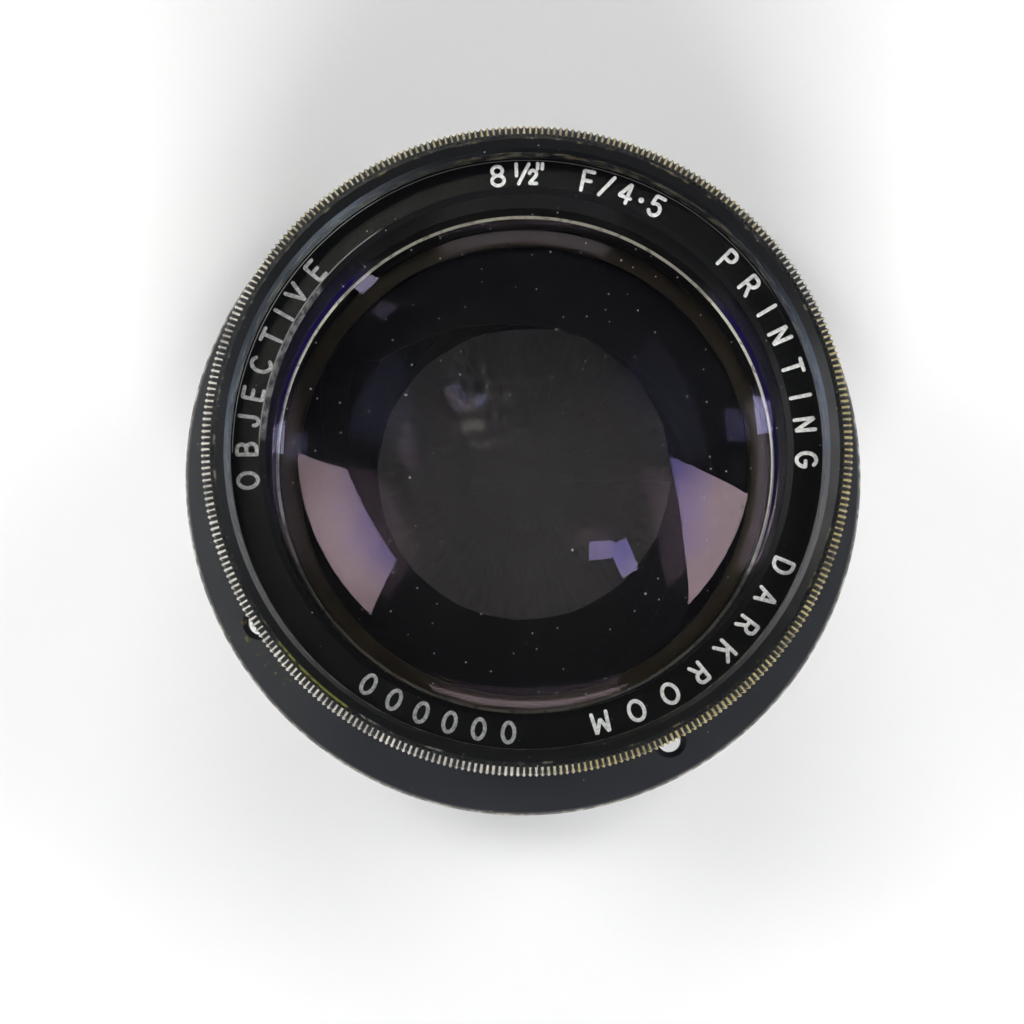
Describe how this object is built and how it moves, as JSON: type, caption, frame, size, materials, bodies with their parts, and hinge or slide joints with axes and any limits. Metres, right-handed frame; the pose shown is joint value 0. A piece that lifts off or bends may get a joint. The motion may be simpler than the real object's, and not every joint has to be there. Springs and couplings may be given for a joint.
{
  "type": "enlarger lens",
  "caption": "Enlarging lens in a black lacquered barrel with knurled rims, an iris set by a turning aperture ring, and a screw-on mounting flange.",
  "frame": {"origin": "centre of the mounting flange's rear face, on the optical axis", "axes": "+Z along the optical axis towards the front element, +Y towards the index mark"},
  "size_m": [0.0746, 0.0746, 0.064],
  "materials": {
    "black_lacquer": "semi-gloss black lacquer over brass, worn silvery on the knurl crests",
    "flange_lacquer": "satin blue-black lacquer over brass, rubbed at the bevel",
    "ring_lacquer": "semi-gloss black lacquer over brass with a white filled scale",
    "black_anodised": "matt optical black over brass",
    "coated_glass": "polished glass with a violet anti-reflection coating and dust specks",
    "inner_glass": "polished glass with a pale coating",
    "iris_steel": "blackened thin spring steel",
    "iris_brass": "blackened brass",
    "screw_steel": "oxidised steel"
  },
  "bodies": {
    "barrel": {"front_cell": "black_lacquer", "name_ring": "black_lacquer", "front_element": "coated_glass", "element_spacer_ring": "black_anodised", "middle_element": "inner_glass", "main_barrel": "black_lacquer", "mounting_flange": "flange_lacquer", "index_collar": "black_lacquer", "collar_grub_screws": "screw_steel", "iris_snap_ring": "screw_steel", "iris_base_ring": "iris_brass", "rear_cell": "black_lacquer", "rear_negative_element": "inner_glass", "rear_positive_element": "inner_glass", "rear_retaining_ring": "black_anodised"},
    "aperture_control": {"aperture_ring": "ring_lacquer", "aperture_drive_screws": "screw_steel", "iris_actuator_ring": "iris_brass"},
    "iris_blade_01": {"iris_blade_01": "iris_steel"},
    "iris_blade_02": {"iris_blade_02": "iris_steel"},
    "iris_blade_03": {"iris_blade_03": "iris_steel"},
    "iris_blade_04": {"iris_blade_04": "iris_steel"},
    "iris_blade_05": {"iris_blade_05": "iris_steel"},
    "iris_blade_06": {"iris_blade_06": "iris_steel"},
    "iris_blade_07": {"iris_blade_07": "iris_steel"},
    "iris_blade_08": {"iris_blade_08": "iris_steel"},
    "iris_blade_09": {"iris_blade_09": "iris_steel"},
    "iris_blade_10": {"iris_blade_10": "iris_steel"},
    "iris_blade_11": {"iris_blade_11": "iris_steel"},
    "iris_blade_12": {"iris_blade_12": "iris_steel"},
    "iris_blade_13": {"iris_blade_13": "iris_steel"},
    "iris_blade_14": {"iris_blade_14": "iris_steel"},
    "iris_blade_15": {"iris_blade_15": "iris_steel"},
    "iris_blade_16": {"iris_blade_16": "iris_steel"}
  },
  "joints": [
    {"name": "aperture_turn", "type": "hinge", "parent": "barrel", "child": "aperture_control", "pos_m": [0, 0, 0.0126], "axis": [0, 0, 1], "range_deg": [-23.77, 17.65]},
    {"name": "iris_blade_01_swing", "type": "hinge", "parent": "barrel", "child": "iris_blade_01", "pos_m": [0.0275, 0, 0.0075], "axis": [0, 0, 1], "range_deg": [-15.79, 20.99]},
    {"name": "iris_blade_02_swing", "type": "hinge", "parent": "barrel", "child": "iris_blade_02", "pos_m": [0.02541, 0.01052, 0.0075], "axis": [0, 0, 1], "range_deg": [-15.79, 20.99]},
    {"name": "iris_blade_03_swing", "type": "hinge", "parent": "barrel", "child": "iris_blade_03", "pos_m": [0.01945, 0.01945, 0.0075], "axis": [0, 0, 1], "range_deg": [-15.79, 20.99]},
    {"name": "iris_blade_04_swing", "type": "hinge", "parent": "barrel", "child": "iris_blade_04", "pos_m": [0.01052, 0.02541, 0.0075], "axis": [0, 0, 1], "range_deg": [-15.79, 20.99]},
    {"name": "iris_blade_05_swing", "type": "hinge", "parent": "barrel", "child": "iris_blade_05", "pos_m": [0, 0.0275, 0.0075], "axis": [0, 0, 1], "range_deg": [-15.79, 20.99]},
    {"name": "iris_blade_06_swing", "type": "hinge", "parent": "barrel", "child": "iris_blade_06", "pos_m": [-0.01052, 0.02541, 0.0075], "axis": [0, 0, 1], "range_deg": [-15.79, 20.99]},
    {"name": "iris_blade_07_swing", "type": "hinge", "parent": "barrel", "child": "iris_blade_07", "pos_m": [-0.01945, 0.01945, 0.0075], "axis": [0, 0, 1], "range_deg": [-15.79, 20.99]},
    {"name": "iris_blade_08_swing", "type": "hinge", "parent": "barrel", "child": "iris_blade_08", "pos_m": [-0.02541, 0.01052, 0.0075], "axis": [0, 0, 1], "range_deg": [-15.79, 20.99]},
    {"name": "iris_blade_09_swing", "type": "hinge", "parent": "barrel", "child": "iris_blade_09", "pos_m": [-0.0275, 0, 0.0075], "axis": [0, 0, 1], "range_deg": [-15.79, 20.99]},
    {"name": "iris_blade_10_swing", "type": "hinge", "parent": "barrel", "child": "iris_blade_10", "pos_m": [-0.02541, -0.01052, 0.0075], "axis": [0, 0, 1], "range_deg": [-15.79, 20.99]},
    {"name": "iris_blade_11_swing", "type": "hinge", "parent": "barrel", "child": "iris_blade_11", "pos_m": [-0.01945, -0.01945, 0.0075], "axis": [0, 0, 1], "range_deg": [-15.79, 20.99]},
    {"name": "iris_blade_12_swing", "type": "hinge", "parent": "barrel", "child": "iris_blade_12", "pos_m": [-0.01052, -0.02541, 0.0075], "axis": [0, 0, 1], "range_deg": [-15.79, 20.99]},
    {"name": "iris_blade_13_swing", "type": "hinge", "parent": "barrel", "child": "iris_blade_13", "pos_m": [0, -0.0275, 0.0075], "axis": [0, 0, 1], "range_deg": [-15.79, 20.99]},
    {"name": "iris_blade_14_swing", "type": "hinge", "parent": "barrel", "child": "iris_blade_14", "pos_m": [0.01052, -0.02541, 0.0075], "axis": [0, 0, 1], "range_deg": [-15.79, 20.99]},
    {"name": "iris_blade_15_swing", "type": "hinge", "parent": "barrel", "child": "iris_blade_15", "pos_m": [0.01945, -0.01945, 0.0075], "axis": [0, 0, 1], "range_deg": [-15.79, 20.99]},
    {"name": "iris_blade_16_swing", "type": "hinge", "parent": "barrel", "child": "iris_blade_16", "pos_m": [0.02541, -0.01052, 0.0075], "axis": [0, 0, 1], "range_deg": [-15.79, 20.99]}
  ],
  "couplings": [
    {"joint": "iris_blade_01_swing", "follows": "aperture_turn", "ratio": -0.85},
    {"joint": "iris_blade_02_swing", "follows": "aperture_turn", "ratio": -0.85},
    {"joint": "iris_blade_03_swing", "follows": "aperture_turn", "ratio": -0.85},
    {"joint": "iris_blade_04_swing", "follows": "aperture_turn", "ratio": -0.85},
    {"joint": "iris_blade_05_swing", "follows": "aperture_turn", "ratio": -0.85},
    {"joint": "iris_blade_06_swing", "follows": "aperture_turn", "ratio": -0.85},
    {"joint": "iris_blade_07_swing", "follows": "aperture_turn", "ratio": -0.85},
    {"joint": "iris_blade_08_swing", "follows": "aperture_turn", "ratio": -0.85},
    {"joint": "iris_blade_09_swing", "follows": "aperture_turn", "ratio": -0.85},
    {"joint": "iris_blade_10_swing", "follows": "aperture_turn", "ratio": -0.85},
    {"joint": "iris_blade_11_swing", "follows": "aperture_turn", "ratio": -0.85},
    {"joint": "iris_blade_12_swing", "follows": "aperture_turn", "ratio": -0.85},
    {"joint": "iris_blade_13_swing", "follows": "aperture_turn", "ratio": -0.85},
    {"joint": "iris_blade_14_swing", "follows": "aperture_turn", "ratio": -0.85},
    {"joint": "iris_blade_15_swing", "follows": "aperture_turn", "ratio": -0.85},
    {"joint": "iris_blade_16_swing", "follows": "aperture_turn", "ratio": -0.85}
  ]
}
